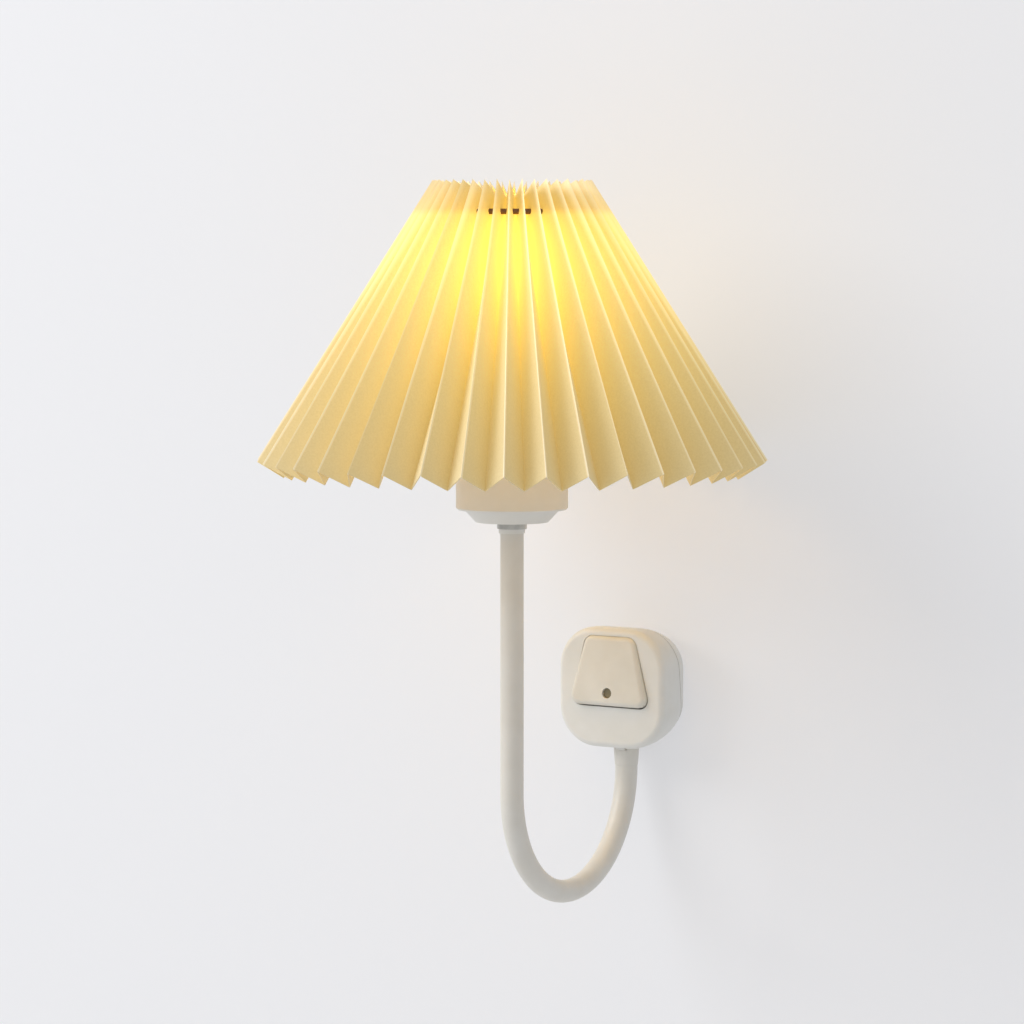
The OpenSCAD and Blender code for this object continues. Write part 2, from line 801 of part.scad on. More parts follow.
module shade_pleats() {
    folds = 2 * pleats;
    points = [for (k = [0:folds - 1], end = [0, 1], face = [0, 1]) fold_point(k, end, face)];
    faces = [for (k = [0:folds - 1])
        let (a = 4 * k, b = 4 * ((k + 1) % folds))
        each [[a, a + 2, b + 2], [a, b + 2, b],
            [a + 1, b + 3, a + 3], [a + 1, b + 1, b + 3],
            [a + 2, a + 3, b + 3], [a + 2, b + 3, b + 2],
            [a, b + 1, a + 1], [a, b, b + 1]]];
    slit_h = ring_wire_d + 2 * clear;
    color("khaki") on_axis(0) rotate(shade_turn) difference() {
        polyhedron(points, faces);
        translate([0, 0, ring_z - slit_h / 2]) difference() {
            cylinder(r = slit_end, h = slit_h);
            translate([0, 0, -1]) cylinder(r = bulb_tip_r, h = slit_h + 2);
        }
    }
}

module bulb_cap() {
    color("silver") on_axis(bulb_foot) union() {
        cylinder(r = bulb_tip_r, h = bulb_tip_h + lap);
        translate([0, 0, bulb_tip_h])
            cylinder(r1 = bulb_tip_r + bulb_tip_h, r2 = bulb_cap_r, h = bulb_cone_h);
        translate([0, 0, bulb_tip_h + bulb_cone_h])
            cylinder(r = bulb_cap_r, h = bulb_neck_z - bulb_foot - bulb_tip_h - bulb_cone_h);
    }
}

// Silhouette of the body under the globe, from the cap to the cut of the globe
module bulb_body() {
    cut_r = sqrt(pow(globe_r, 2) - pow(globe_z - globe_cut, 2));
    rise = globe_cut - bulb_neck_z;
    color("white") on_axis(bulb_neck_z) rotate_extrude()
        polygon([[0, 0], [bulb_cap_r + 0.6, 0], [bulb_cap_r + 1.2, rise * 0.25],
            [bulb_cap_r + 2.4, rise * 0.5], [bulb_cap_r + 4.4, rise * 0.75], [cut_r, rise], [0, rise]]);
}

module bulb_globe() {
    color("lightyellow") difference() {
        on_axis(globe_z) sphere(r = globe_r);
        on_axis(globe_z) sphere(r = globe_r - globe_wall);
        on_axis(globe_cut - 2 * globe_r) cylinder(r = 2 * globe_r, h = 2 * globe_r);
    }
}

rear_cover();
front_housing();
pin_carrier();
live_blade();
neutral_blade();
housing_screws();
switch_module();
pivot_pin();
outlet_bush();
switch_paddle();
indicator_lens();
switch_plunger();
neck_stem();
neck_boot();
boot_clip();
neck_sleeve();
neck_link_1();
neck_link_2();
neck_link_3();
neck_link_4();
neck_link_5();
neck_link_top();
inner_flex();
hose_ferrule();
ferrule_nut();
holder_nipple();
nipple_locknut();
holder_lower_cap();
holder_cup();
socket_body();
socket_shell();
centre_contact();
shade_ring_nut();
shade_frame();
shade_pleats();
bulb_cap();
bulb_body();
bulb_globe();
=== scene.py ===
# %% [markdown]
# # A plug-in wall light with a folded shade
# The light is a mains plug with a rocking switch paddle, a sleeved neck bent into a U, a lamp holder
# and a cone shade folded from one strip of coated cloth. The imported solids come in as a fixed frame, in
# metres, and stay where they are. This lesson makes the pieces whose looks need softer forms, and gives
# every surface its finish. A bare size below is in millimetres, MM turns it to metres, and a comment
# says where a size is in metres from the start.

# %% Load the solids
import math

import bpy
from mathutils import Matrix, Vector


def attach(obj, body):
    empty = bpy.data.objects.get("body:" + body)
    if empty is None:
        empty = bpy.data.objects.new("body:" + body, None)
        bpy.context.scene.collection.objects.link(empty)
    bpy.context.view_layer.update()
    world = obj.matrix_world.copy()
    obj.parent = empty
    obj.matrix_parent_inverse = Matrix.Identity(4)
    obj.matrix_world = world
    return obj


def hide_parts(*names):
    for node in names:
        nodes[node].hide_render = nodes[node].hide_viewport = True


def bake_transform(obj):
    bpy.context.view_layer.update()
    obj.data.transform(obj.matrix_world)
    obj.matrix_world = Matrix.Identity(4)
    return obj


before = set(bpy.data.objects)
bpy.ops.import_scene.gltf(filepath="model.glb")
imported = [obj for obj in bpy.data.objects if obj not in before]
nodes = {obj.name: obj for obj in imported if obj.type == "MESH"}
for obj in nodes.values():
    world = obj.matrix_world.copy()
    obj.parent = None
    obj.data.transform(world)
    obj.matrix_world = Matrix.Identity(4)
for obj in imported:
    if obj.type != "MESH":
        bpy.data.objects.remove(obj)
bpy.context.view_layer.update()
MM = 0.001
print("solids loaded:", len(nodes))

# %% [markdown]
# ## Camera
# The light was seen from the right and from a little above, by a long lens some 1.6 m away. A camera
# can be nudged until the picture fits. Here its place was worked out instead: the holder, the neck and
# the plug have known sizes, and one eye point fits them all. It looks at the upright axis that the
# neck's riser, the holder and the shade share.

# %% Camera at the viewing angle
LAMP_Y = -114.5 * MM
EYE_RANGE = 1600 * MM
EYE_AZIMUTH = math.radians(31.7)
EYE_HEIGHT = 212.6 * MM
LOOK_DOWN = math.radians(4.46)
FOCAL_PIXELS = 3632
PICTURE_PIXELS = 1024
SENSOR_MM = 36

lens = bpy.data.cameras.new("camera")
lens.sensor_width = SENSOR_MM
lens.lens = SENSOR_MM * FOCAL_PIXELS / PICTURE_PIXELS
camera = bpy.data.objects.new("camera", lens)
bpy.context.scene.collection.objects.link(camera)
eye_right = EYE_RANGE * math.sin(EYE_AZIMUTH)
eye_out = EYE_RANGE * math.cos(EYE_AZIMUTH)
camera.location = (eye_right, LAMP_Y - eye_out, EYE_HEIGHT)
camera.rotation_euler = (math.pi / 2 - LOOK_DOWN, 0, EYE_AZIMUTH)
bpy.context.scene.camera = camera
print("camera lens, mm:", round(lens.lens, 1))

# %% [markdown]
# ## How a finish is made
# A finish is a small graph of nodes. It could be drawn in the shader editor. In a script, one function
# that adds a node, sets it and links it does the same work. Colours are written as sRGB hex values, the
# way a paint chart gives them, and turned to linear light, which is what the renderer reckons in.

# %% Helpers: colours and nodes
def linear(hex_colour):
    """Linear RGBA of an sRGB hex colour."""
    parts = [int(hex_colour[i:i + 2], 16) / 255 for i in (1, 3, 5)]
    return [c / 12.92 if c <= 0.04045 else ((c + 0.055) / 1.055) ** 2.4 for c in parts] + [1.0]


def add(tree, kind, inputs=None, **settings):
    """Add one node, set its properties, and give its inputs values or links.

    Inputs go by name or number. On a Mix of colours, 0 is the factor, and 6 and 7 are the colours."""
    node = tree.nodes.new("ShaderNode" + kind)
    for key, value in settings.items():
        setattr(node, key, value)
    for key, value in (inputs or {}).items():
        if isinstance(value, bpy.types.NodeSocket):
            tree.links.new(value, node.inputs[key])
        else:
            node.inputs[key].default_value = value
    return node


def new_finish(name, **plain):
    """A material with one Principled shader; the plain values go straight on its sockets."""
    material = bpy.data.materials.new(name)
    material.use_nodes = True
    tree = material.node_tree
    tree.nodes.clear()
    shader = add(tree, "BsdfPrincipled", {key.replace("_", " "): value for key, value in plain.items()})
    add(tree, "OutputMaterial", {"Surface": shader.outputs["BSDF"]})
    place = add(tree, "TexCoord").outputs["Object"]
    return material, tree, shader, place


print("half grey in linear light:", round(linear("#808080")[0], 3))

# %% [markdown]
# ## Uneven tones
# No real surface has one tone and one gloss all over. A painted picture could carry the blotches, but a
# noise texture needs no picture and wraps round any shape. Its grain is given as a real size in
# millimetres. Noise values crowd round one half, so the crowded range is stretched over the values that
# are wanted.

# %% Helper: blotches of a real size
NOISE_LOW = 0.3
NOISE_HIGH = 0.7


def mottle(tree, place, grain_mm, low, high, detail=3.0, stretch=(1, 1, 1)):
    """A noise with grains of a real size, turned to values from low to high."""
    scaled = add(tree, "Mapping", {"Vector": place, "Scale": stretch}).outputs["Vector"]
    noise = add(tree, "TexNoise", {"Vector": scaled, "Scale": 1 / (grain_mm * MM), "Detail": detail})
    return add(tree, "MapRange", {"Value": noise.outputs[0], "From Min": NOISE_LOW, "From Max": NOISE_HIGH,
                                  "To Min": low, "To Max": high}).outputs[0]


print("noise range in use:", NOISE_LOW, "to", NOISE_HIGH)

# %% [markdown]
# ## Moulded plastics
# The plug, the paddle and the holder are injection-moulded ABS in a warm ivory, and the neck's sleeve
# is extruded PVC. One flat colour would look like paper, so the tint drifts by a percent or two and the
# gloss is uneven. Spark-eroded moulds leave a grain of about a tenth of a millimetre. That is too fine
# to show in the render, so it is drawn at half a millimetre, and shallow.

# %% Finish: a moulded plastic
PLASTIC_IOR = 1.53
TINT_DRIFT = 14
GLOSS_DRIFT = 3
GRAIN_STRENGTH = 0.35


def moulded(name, light, dark, rough_low, rough_high, grain_mm=0.5, depth_mm=0.02):
    """A moulded plastic with drifting tint, uneven gloss and a fine mould grain."""
    material, tree, shader, place = new_finish(name, IOR=PLASTIC_IOR)
    drift = mottle(tree, place, TINT_DRIFT, 0, 1, detail=5)
    tint = add(tree, "Mix", {0: drift, 6: linear(light), 7: linear(dark)}, data_type="RGBA").outputs[2]
    tree.links.new(tint, shader.inputs["Base Color"])
    tree.links.new(mottle(tree, place, GLOSS_DRIFT, rough_low, rough_high), shader.inputs["Roughness"])
    grain = add(tree, "TexNoise", {"Vector": place, "Scale": 1 / (grain_mm * MM), "Detail": 2.0})
    bump = add(tree, "Bump", {"Height": grain.outputs[0], "Strength": GRAIN_STRENGTH,
                              "Distance": depth_mm * MM})
    tree.links.new(bump.outputs["Normal"], shader.inputs["Normal"])
    return material


print("tint drifts over, mm:", TINT_DRIFT)

# %% [markdown]
# ## The plastics of this light
# One recipe does for all the plastics, and for the ceramic of the socket. They differ in tint, in how
# dull they are, and in their grain. The two hex values are the lightest and the darkest tint, and the two
# numbers after them the glossiest and the dullest roughness.

# %% Make the plastics
# Holder: warm ivory, half matt, so that a lamp shows on it as a soft wide patch.
ivory_abs = moulded("moulded ivory ABS", "#E9E6DE", "#E3DFD5", 0.36, 0.46)
# Plug: the same plastic from another mould, a touch whiter.
plug_abs = moulded("moulded ivory ABS, plug", "#EAE8E2", "#E4E2DA", 0.36, 0.46)
# Paddle: it is touched most, so it is yellower and duller than the plug round it.
paddle_abs = moulded("moulded ivory ABS, paddle", "#E7E2D6", "#DFD9CB", 0.42, 0.52)
# Sleeve and boot: extruded, so with faint low waves for a grain and a soft streak of light down the side.
white_pvc = moulded("extruded white PVC", "#E2DED5", "#DCD7CC", 0.36, 0.42, 1.2, 0.004)
# Bush, plunger, ferrule and the flex's jacket: milky white and a little waxy.
white_nylon = moulded("moulded white nylon", "#EEECE6", "#E3DFD6", 0.42, 0.55)
# Pin carrier and switch: a nearly black resin with a dull face.
dark_phenolic = moulded("moulded dark phenolic", "#2B2A2B", "#1E1D1E", 0.45, 0.60)
# Socket body: the glaze gives small sharp glints on a cream white.
glazed_ceramic = moulded("glazed ceramic", "#F2EFE6", "#E9E4D8", 0.10, 0.18, 2.5, 0.01)
# Indicator lens: unlit, it is a dull olive eye with a glint.
smoked_lens = moulded("smoked polycarbonate", "#8B8062", "#71674B", 0.12, 0.22, 1.5, 0.01)
# Bulb body: a shiny white.
bulb_plastic = moulded("glossy bulb plastic", "#F3F1EA", "#EBE7DD", 0.20, 0.30)
print("last plastic made:", bulb_plastic.name)

# %% [markdown]
# ## Metals
# Metal mirrors the room, blurred by its surface and tinted by its own colour. Turning and drawing leave
# level lines about a tenth of a millimetre apart, drawn here at half a millimetre so that they show, and
# handling leaves cloudy tones. Lines could be drawn as waves, but a noise that is stretched along them is
# less regular, as real ones are.

# %% Finish: turned, plated and rolled metals
CLOUD = 5
LINE_GRAIN = 0.5
LINE_STRETCH = (0.05, 0.05, 1)
LINE_STRENGTH = 0.3
LINE_DEPTH = 0.02


def turned_metal(name, light, dark, rough_low, rough_high):
    """A metal with fine level lines from turning or drawing, and a cloudy tone."""
    material, tree, shader, place = new_finish(name, Metallic=1.0)
    cloud = mottle(tree, place, CLOUD, 0, 1, detail=4)
    tone = add(tree, "Mix", {0: cloud, 6: linear(light), 7: linear(dark)}, data_type="RGBA").outputs[2]
    tree.links.new(tone, shader.inputs["Base Color"])
    lines = mottle(tree, place, LINE_GRAIN, rough_low, rough_high, stretch=LINE_STRETCH)
    tree.links.new(lines, shader.inputs["Roughness"])
    bump = add(tree, "Bump", {"Height": lines, "Strength": LINE_STRENGTH, "Distance": LINE_DEPTH * MM})
    tree.links.new(bump.outputs["Normal"], shader.inputs["Normal"])
    return material


print("tool lines drawn at, mm:", LINE_GRAIN)

# %% [markdown]
# ## The metals of this light
# The plated, bare and rolled metals share the recipe too, with their own tints and roughness. The wire of
# the shade's frame is lacquered, and what shows is the lacquer, so it is made as a plastic.

# %% Make the metals
# Ferrule nut: satin plate, a warm grey with soft edges to its reflections.
satin_nickel = turned_metal("satin nickel plate", "#CECBC3", "#B5B2AA", 0.34, 0.46)
# Latch: duller nickel plate, lightened as painted light so that it stays light in the plug's shade.
shade_lightened_nickel = turned_metal("nickel plate lightened against shade", "#F3F1EC", "#E4E2DC", 0.45, 0.60)
# Screws, pin, nipple and locknut: a neutral, fairly bright grey.
zinc_steel = turned_metal("zinc-plated steel", "#C2C2C2", "#A6A7A8", 0.30, 0.42)
# Core links: bare steel, darker than the plated kind.
plain_steel = turned_metal("plain steel", "#ABABAC", "#8E8F91", 0.32, 0.48)
# Blades and contacts: yellow, with a brown cloud of tarnish.
sheet_brass = turned_metal("rolled brass", "#D8BC74", "#B99A55", 0.22, 0.36)
# Bulb cap: a light grey.
cap_aluminium = turned_metal("pressed aluminium", "#D2D2D2", "#BDBDBE", 0.28, 0.40)
# Shade frame: a dark warm bar with a shine.
wire_lacquer = moulded("brown lacquered wire", "#7C5428", "#5F401F", 0.30, 0.45, 2.0, 0.02)
print("last metal made:", wire_lacquer.name)

# %% [markdown]
# ## The lit globe
# The bulb is an opal plastic globe that glows warm all over. A point lamp could stand inside it, but
# then the globe itself would look unlit. Making its surface glow gives both: a bright ball, and the
# light that falls on the holder, the plug and the inside of the shade.

# %% Finish: glowing opal globe
GLOBE_GLOW = 8.0

# To the eye it is one even warm white, because opal plastic scatters all that passes through it.
opal_globe, _, _, _ = new_finish("glowing opal globe", Base_Color=linear("#FFF3D6"), Roughness=0.3,
                                 Emission_Color=linear("#FFDFA5"), Emission_Strength=GLOBE_GLOW)
print("glow of the globe:", GLOBE_GLOW)

# %% [markdown]
# ## The shade's cloth: light that soaks through
# The shade is a strip of coated cloth, pressed into accordion folds and glued into a ring. Light from
# the globe soaks through it. A translucent shader would do that too, but it stays grainy at few
# samples, so the nodes work the light out and the cloth glows by that much. The light falls with
# distance, and with how slantingly it meets a panel. Near the top the folds stand almost edge-on to the
# globe and stay dim, the panels beside the globe glow most, and the hem is far off and looks tan. Above
# the wire ring the cloth is shaded. All of it is read from the piece's own coordinates and normal, so
# it holds from every side.

# %% Cloth: how much light reaches each spot
GLOBE_Z = 186 * MM
RING_Z = 220 * MM
RING_BLUR = 1.5 * MM
RING_SHADE = 0.55
FULL_GLOW_AT = 60 * MM
FALL_OFF = 1.5
SLANT_GAIN = 0.75
SLANT_LEAST = 0.12

pleated_cloth, tree, shader, place = new_finish("coated pleated cloth", Roughness=0.8, Sheen_Weight=0.15,
                                                Sheen_Roughness=0.5)
globe_spot = (0, LAMP_Y, GLOBE_Z)
to_globe = add(tree, "VectorMath", {0: globe_spot, 1: place}, operation="SUBTRACT").outputs[0]
distance = add(tree, "VectorMath", {0: to_globe}, operation="LENGTH").outputs["Value"]
direction = add(tree, "VectorMath", {0: to_globe}, operation="NORMALIZE").outputs[0]
own_normal = add(tree, "TexCoord").outputs["Normal"]
facing = add(tree, "VectorMath", {0: own_normal, 1: direction}, operation="DOT_PRODUCT").outputs["Value"]
steep = add(tree, "Math", {0: facing}, operation="ABSOLUTE").outputs[0]
slanting = add(tree, "Math", {0: steep, 1: SLANT_GAIN, 2: SLANT_LEAST},
               operation="MULTIPLY_ADD").outputs[0]
near = add(tree, "Math", {0: FULL_GLOW_AT, 1: distance}, operation="DIVIDE").outputs[0]
fallen = add(tree, "Math", {0: near, 1: FALL_OFF}, operation="POWER").outputs[0]
height = add(tree, "SeparateXYZ", {"Vector": place}).outputs["Z"]
over_ring = add(tree, "MapRange", {"Value": height, "From Min": RING_Z - RING_BLUR,
                                   "From Max": RING_Z + RING_BLUR,
                                   "To Min": 1.0, "To Max": RING_SHADE}).outputs[0]
print("cloth glows fully at, mm:", round(FULL_GLOW_AT / MM))

# %% [markdown]
# ## The shade's cloth: painted highlights on the folds
# The outer edge of each fold catches the light as a fine bright line, and here that line is a painted
# highlight, in the cloth's colour and in its glow. The edges could be painted one by one. Here the angle
# round the lamp's axis is counted in pleats, and a zigzag of that count says how far each spot is from the
# nearest outer fold.

# %% Cloth: a line along each outer fold
PLEATS = 40
SHADE_TURN = 3.0
RIDGE_HALF_W = 0.55
RIDGE_CORE = 0.2
RIDGE_TOP = 0.75

# The count is in pleats, so a width along the arc is turned to pleats times radius.
ridge_line = RIDGE_HALF_W * MM * PLEATS / (2 * math.pi)
first_fold = (90 - SHADE_TURN) * PLEATS / 360
across = add(tree, "VectorMath", {0: place, 1: (0, LAMP_Y, 0)}, operation="SUBTRACT").outputs[0]
parts = add(tree, "SeparateXYZ", {"Vector": across}).outputs
turned = add(tree, "Math", {0: parts["Y"], 1: parts["X"]}, operation="ARCTAN2").outputs[0]
pleat_count = add(tree, "Math", {0: turned, 1: PLEATS / (2 * math.pi), 2: first_fold},
                  operation="MULTIPLY_ADD").outputs[0]
from_ridge = add(tree, "Math", {0: pleat_count, 1: 0.5}, operation="PINGPONG").outputs[0]
flat_across = add(tree, "VectorMath", {0: across, 1: (1, 1, 0)}, operation="MULTIPLY").outputs[0]
from_axis = add(tree, "VectorMath", {0: flat_across}, operation="LENGTH").outputs["Value"]
arc = add(tree, "Math", {0: from_ridge, 1: from_axis}, operation="MULTIPLY").outputs[0]
ridge = add(tree, "MapRange", {"Value": arc, "From Min": ridge_line * RIDGE_CORE, "From Max": ridge_line,
                               "To Min": RIDGE_TOP, "To Max": 0.0}).outputs[0]
print("fold lines, mm wide:", 2 * RIDGE_HALF_W)

# %% [markdown]
# ## The shade's cloth: cut edges
# At the hem and at the top the strip is simply cut. A cut edge shows the coating end-on, and glows far
# less than a panel. It faces along the slope of the cone, which no panel does, so the normal tells it
# apart.

# %% Cloth: dim the cut edges
HEM_R = 112.5
TOP_R = 35
HEM_Z = 111
TOP_Z = 234
EDGE_FROM = 0.6
EDGE_FULL = 0.9
EDGE_GLOW = 0.15

slope = math.atan((HEM_R - TOP_R) / (TOP_Z - HEM_Z))
outward = add(tree, "VectorMath", {0: flat_across}, operation="NORMALIZE").outputs[0]
down_slope = add(tree, "VectorMath", {0: outward, 1: (math.sin(slope),) * 3, 2: (0, 0, -math.cos(slope))},
                 operation="MULTIPLY_ADD").outputs[0]
end_on = add(tree, "VectorMath", {0: own_normal, 1: down_slope}, operation="DOT_PRODUCT").outputs["Value"]
cut_edge = add(tree, "Math", {0: end_on}, operation="ABSOLUTE").outputs[0]
unlit = add(tree, "MapRange", {"Value": cut_edge, "From Min": EDGE_FROM, "From Max": EDGE_FULL,
                               "To Min": 1.0, "To Max": EDGE_GLOW}).outputs[0]
print("slope of the shade, degrees from upright:", round(math.degrees(slope), 1))

# %% [markdown]
# ## The shade's cloth: weave and tone
# The cloth is cream, and its glow is yellow. Its threads lie about a quarter of a millimetre apart, too
# fine to show, so thick and thin places in the yarn are drawn instead, a millimetre wide and three
# times as long. They vary the glow a little and roughen the surface.

# %% Cloth: put tone, glow and weave together
YARN = 1.1
YARN_STRETCH = (1, 1, 0.35)
YARN_LOW = 0.93
YARN_HIGH = 1.05
TONE_GRAIN = 0.8
GLOW_GAIN = 1.4
RIDGE_GLOW = 0.3
WEAVE_STRENGTH = 0.25
WEAVE_DEPTH = 0.05

# To the eye it is a warm lantern: bright panels, painted highlights on the folds, and matt cream
# cloth far from the globe.
speckle = mottle(tree, place, TONE_GRAIN, 0, 1, detail=4)
tone = add(tree, "Mix", {0: speckle, 6: linear("#E6D2A6"), 7: linear("#DFCA9B")},
           data_type="RGBA").outputs[2]
# Painted highlight: the pale fold colour here and the extra fold glow below.
fold_highlit_tone = add(tree, "Mix", {0: ridge, 6: tone, 7: linear("#FFF3DC")}, data_type="RGBA").outputs[2]
tree.links.new(fold_highlit_tone, shader.inputs["Base Color"])
yarn = mottle(tree, place, YARN, YARN_LOW, YARN_HIGH, detail=4, stretch=YARN_STRETCH)
ridge_gain = add(tree, "Math", {0: ridge, 1: RIDGE_GLOW, 2: 1.0}, operation="MULTIPLY_ADD").outputs[0]
glow = fallen
for share in (slanting, over_ring, yarn, GLOW_GAIN, ridge_gain, unlit):
    glow = add(tree, "Math", {0: glow, 1: share}, operation="MULTIPLY").outputs[0]
shader.inputs["Emission Color"].default_value = linear("#FFDE60")
tree.links.new(glow, shader.inputs["Emission Strength"])
weave = add(tree, "Bump", {"Height": yarn, "Strength": WEAVE_STRENGTH, "Distance": WEAVE_DEPTH * MM})
tree.links.new(weave.outputs["Normal"], shader.inputs["Normal"])
print("cloth made, nodes:", len(tree.nodes))

# %% [markdown]
# ## Finishes on the solids
# Most solids already have the right shape, turned or flat. They could be modelled again with softer
# edges, but they are hidden inside or already smooth, so they stay and only take a finish.

# %% Dress the solids that stay
FINISH_OF = {
    ivory_abs: ("holder_lower_cap", "holder_cup", "shade_ring_nut"),
    white_nylon: ("outlet_bush", "switch_plunger", "hose_ferrule"),
    dark_phenolic: ("pin_carrier", "switch_module"),
    glazed_ceramic: ("socket_body",),
    smoked_lens: ("indicator_lens",),
    bulb_plastic: ("bulb_body",),
    opal_globe: ("bulb_globe",),
    satin_nickel: ("ferrule_nut",),
    shade_lightened_nickel: ("boot_clip",),
    zinc_steel: ("housing_screws", "pivot_pin", "holder_nipple", "nipple_locknut"),
    plain_steel: ("neck_stem", "neck_link_1", "neck_link_2", "neck_link_3", "neck_link_4", "neck_link_5",
                  "neck_link_top"),
    sheet_brass: ("live_blade", "neutral_blade", "socket_shell", "centre_contact"),
    cap_aluminium: ("bulb_cap",),
    wire_lacquer: ("shade_frame",),
}
for finish, names in FINISH_OF.items():
    for name in names:
        for holder in nodes[name].material_slots:
            holder.material = finish
print("solids dressed:", sum(len(names) for names in FINISH_OF.values()))

# %% [markdown]
# ## How a piece is modelled
# Each new piece starts as a primitive and is shaped in edit mode, as by hand. Operators act on all that is
# selected, and the solids come in selected, so the selection is cleared before each primitive is added.
# Its place is moved into its mesh at once, so that every object sits at the origin, as the solids do.

# %% Helpers: select a piece, name a new one
def deselect():
    """Leave edit mode and select nothing."""
    if bpy.context.object and bpy.context.object.mode != "OBJECT":
        bpy.ops.object.mode_set(mode="OBJECT")
    bpy.ops.object.select_all(action="DESELECT")


def take(piece):
    """Select one piece and nothing else."""
    deselect()
    piece.select_set(True)
    bpy.context.view_layer.objects.active = piece


def newest(name):
    """The primitive that was just added, named, with its place moved into its mesh."""
    piece = bpy.context.object
    piece.name = name
    piece.data.name = name
    bpy.ops.object.transform_apply(location=True, rotation=True, scale=True)
    return piece


# %% [markdown]
# ## Choosing faces and edges
# A mouse would click on the parts to work on. A script chooses them by where they are or which way they
# face. The marks are set in object mode, because edit mode works on a copy of the mesh.

# %% Helper: pick by place
def pick(piece, kind, test):
    """In edit mode, select the vertices, edges or faces that pass the test.

    A vertex is tested by its place, an edge by its two ends, and a face by its middle and its normal."""
    bpy.ops.object.mode_set(mode="EDIT")
    bpy.ops.mesh.select_mode(type=kind)
    bpy.ops.mesh.select_all(action="DESELECT")
    bpy.ops.object.mode_set(mode="OBJECT")
    mesh = piece.data
    if kind == "VERT":
        for vertex in mesh.vertices:
            vertex.select = test(vertex.co)
    elif kind == "EDGE":
        for edge in mesh.edges:
            edge.select = test(*(mesh.vertices[i].co for i in edge.vertices))
    else:
        for face in mesh.polygons:
            face.select = test(face.center, face.normal)
    bpy.ops.object.mode_set(mode="EDIT")


print("kinds of part to pick: vertices, edges, faces")

# %% [markdown]
# ## How a piece is finished
# Walls, cuts and soft edges come from modifiers that are applied at once, so that what is seen is the
# mesh. Moulded edges are never knife-sharp: a small bevel catches the light along them.

# %% Helpers: modifiers, smoothing, soft edges
SMOOTH_ANGLE = 35
SOFT_ANGLE = 40
SOFT_SEGMENTS = 2


def modify(piece, kind, **settings):
    """Add a modifier to a piece and apply it."""
    take(piece)
    modifier = piece.modifiers.new(kind.lower(), kind)
    for key, value in settings.items():
        setattr(modifier, key, value)
    bpy.ops.object.modifier_apply(modifier=modifier.name)


def cut(piece, tool):
    """Cut one piece with another, which is then thrown away."""
    modify(piece, "BOOLEAN", operation="DIFFERENCE", solver="EXACT", object=tool)
    bpy.data.objects.remove(tool)


def smooth(piece, angle=SMOOTH_ANGLE):
    """Shade smooth, but keep edges sharper than the angle."""
    take(piece)
    bpy.ops.object.shade_smooth_by_angle(angle=math.radians(angle))


def soften(piece, width):
    """Round the piece's sharp edges a little, as moulding does, and shade it smooth."""
    modify(piece, "BEVEL", width=width * MM, segments=SOFT_SEGMENTS, limit_method="ANGLE",
           angle_limit=math.radians(SOFT_ANGLE), use_clamp_overlap=True)
    smooth(piece)
    modify(piece, "WEIGHTED_NORMAL", keep_sharp=True)


print("edges sharper than this are softened, degrees:", SOFT_ANGLE)

# %% [markdown]
# ## Round-cornered blocks
# The plug and its paddle both start as a block with round corners seen from the front, and a front edge
# that rolls over. A subdivided cube would round everything alike. Bevels keep the two radii apart: one
# for the corners, and one for the roll.

# %% Helper: a round-cornered block
CORNER_SEGMENTS = 12
ROLL_SEGMENTS = 8
HAIR = 0.01


def rounded_block(name, low, high, half_low, half_high, front, back, corner, roll):
    """A block from front to back with round corners seen from the front, and a rolled front edge.

    Its half width runs from half_low at the low edge to half_high at the high one."""
    deselect()
    bpy.ops.mesh.primitive_cube_add(size=1, location=(0, (front + back) / 2 * MM, (low + high) / 2 * MM),
                                    scale=(2 * half_low * MM, (back - front) * MM, (high - low) * MM))
    block = newest(name)
    pick(block, "VERT", lambda p: p.z > (low + high) / 2 * MM)
    bpy.ops.transform.resize(value=(half_high / half_low, 1, 1), center_override=(0, 0, 0))
    side = math.atan((half_low - half_high) / (high - low))
    for edge_z, turn in ((low, -side), (high, side)):
        pick(block, "EDGE", lambda a, b: abs(a.y - b.y) > (back - front) / 2 * MM
             and abs(a.z - edge_z * MM) < HAIR * MM)
        # Where a side leans, the corner isn't square, and the bevel's reach changes with its angle.
        reach = corner * math.tan(math.pi / 4 - turn / 2)
        bpy.ops.mesh.bevel(offset=reach * MM, segments=CORNER_SEGMENTS, affect="EDGES")
    if roll:
        pick(block, "EDGE", lambda a, b: max(a.y, b.y) < (front + HAIR) * MM)
        bpy.ops.mesh.bevel(offset=roll * MM, segments=ROLL_SEGMENTS, affect="EDGES")
    bpy.ops.object.mode_set(mode="OBJECT")
    return block


print("corner steps:", CORNER_SEGMENTS)

# %% [markdown]
# ## The plug's form
# The plug is a pillow of moulded ABS. Its front face rolls over into the sides, and the sides draw in
# towards the wall, first slowly and then faster. It could be sculpted. Here the back face of a
# round-cornered block is pulled out in steps, each drawn in a little more, which gives the same curve
# on all sides.

# %% The whole form of the plug
PLUG_HALF_W = 28
PLUG_HALF_H = 28
PLUG_FRONT = -28
PLUG_CORNER = 19
PLUG_ROLL = 3
PLUG_TAPER = 4.5
STRAIGHT_RIM = 1
FLANK_STEPS = 7
BACK_EDGE = 1.2
BACK_EDGE_SEGMENTS = 4
FACING_BACK = 0.9


